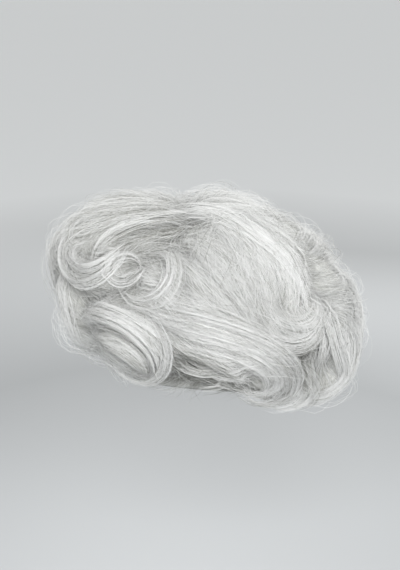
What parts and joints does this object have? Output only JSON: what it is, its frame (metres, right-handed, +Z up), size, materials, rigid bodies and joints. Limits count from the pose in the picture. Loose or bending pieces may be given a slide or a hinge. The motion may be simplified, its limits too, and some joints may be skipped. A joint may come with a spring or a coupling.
{
  "type": "curled wig",
  "caption": "Full silver-grey wig: a fitted cap under layered sections of short, swept-back hair that end in loose curls at the front, sides and back.",
  "frame": {"origin": "inside of the cap's crown, where the top of the wearer's head sits", "axes": "+Z up out of the crown, -Y towards the face, +X towards the wearer's left"},
  "size_m": [0.2586, 0.338, 0.21],
  "materials": {
    "cap_net": "matte knitted net",
    "hair": "soft fibre sheen, silver with grey strands"
  },
  "bodies": {
    "root": {"cap": "cap_net", "crown_hair": "hair", "left_hair": "hair", "right_hair": "hair", "fringe_hair": "hair", "back_hair": "hair", "nape_hair": "hair"}
  },
  "joints": []
}
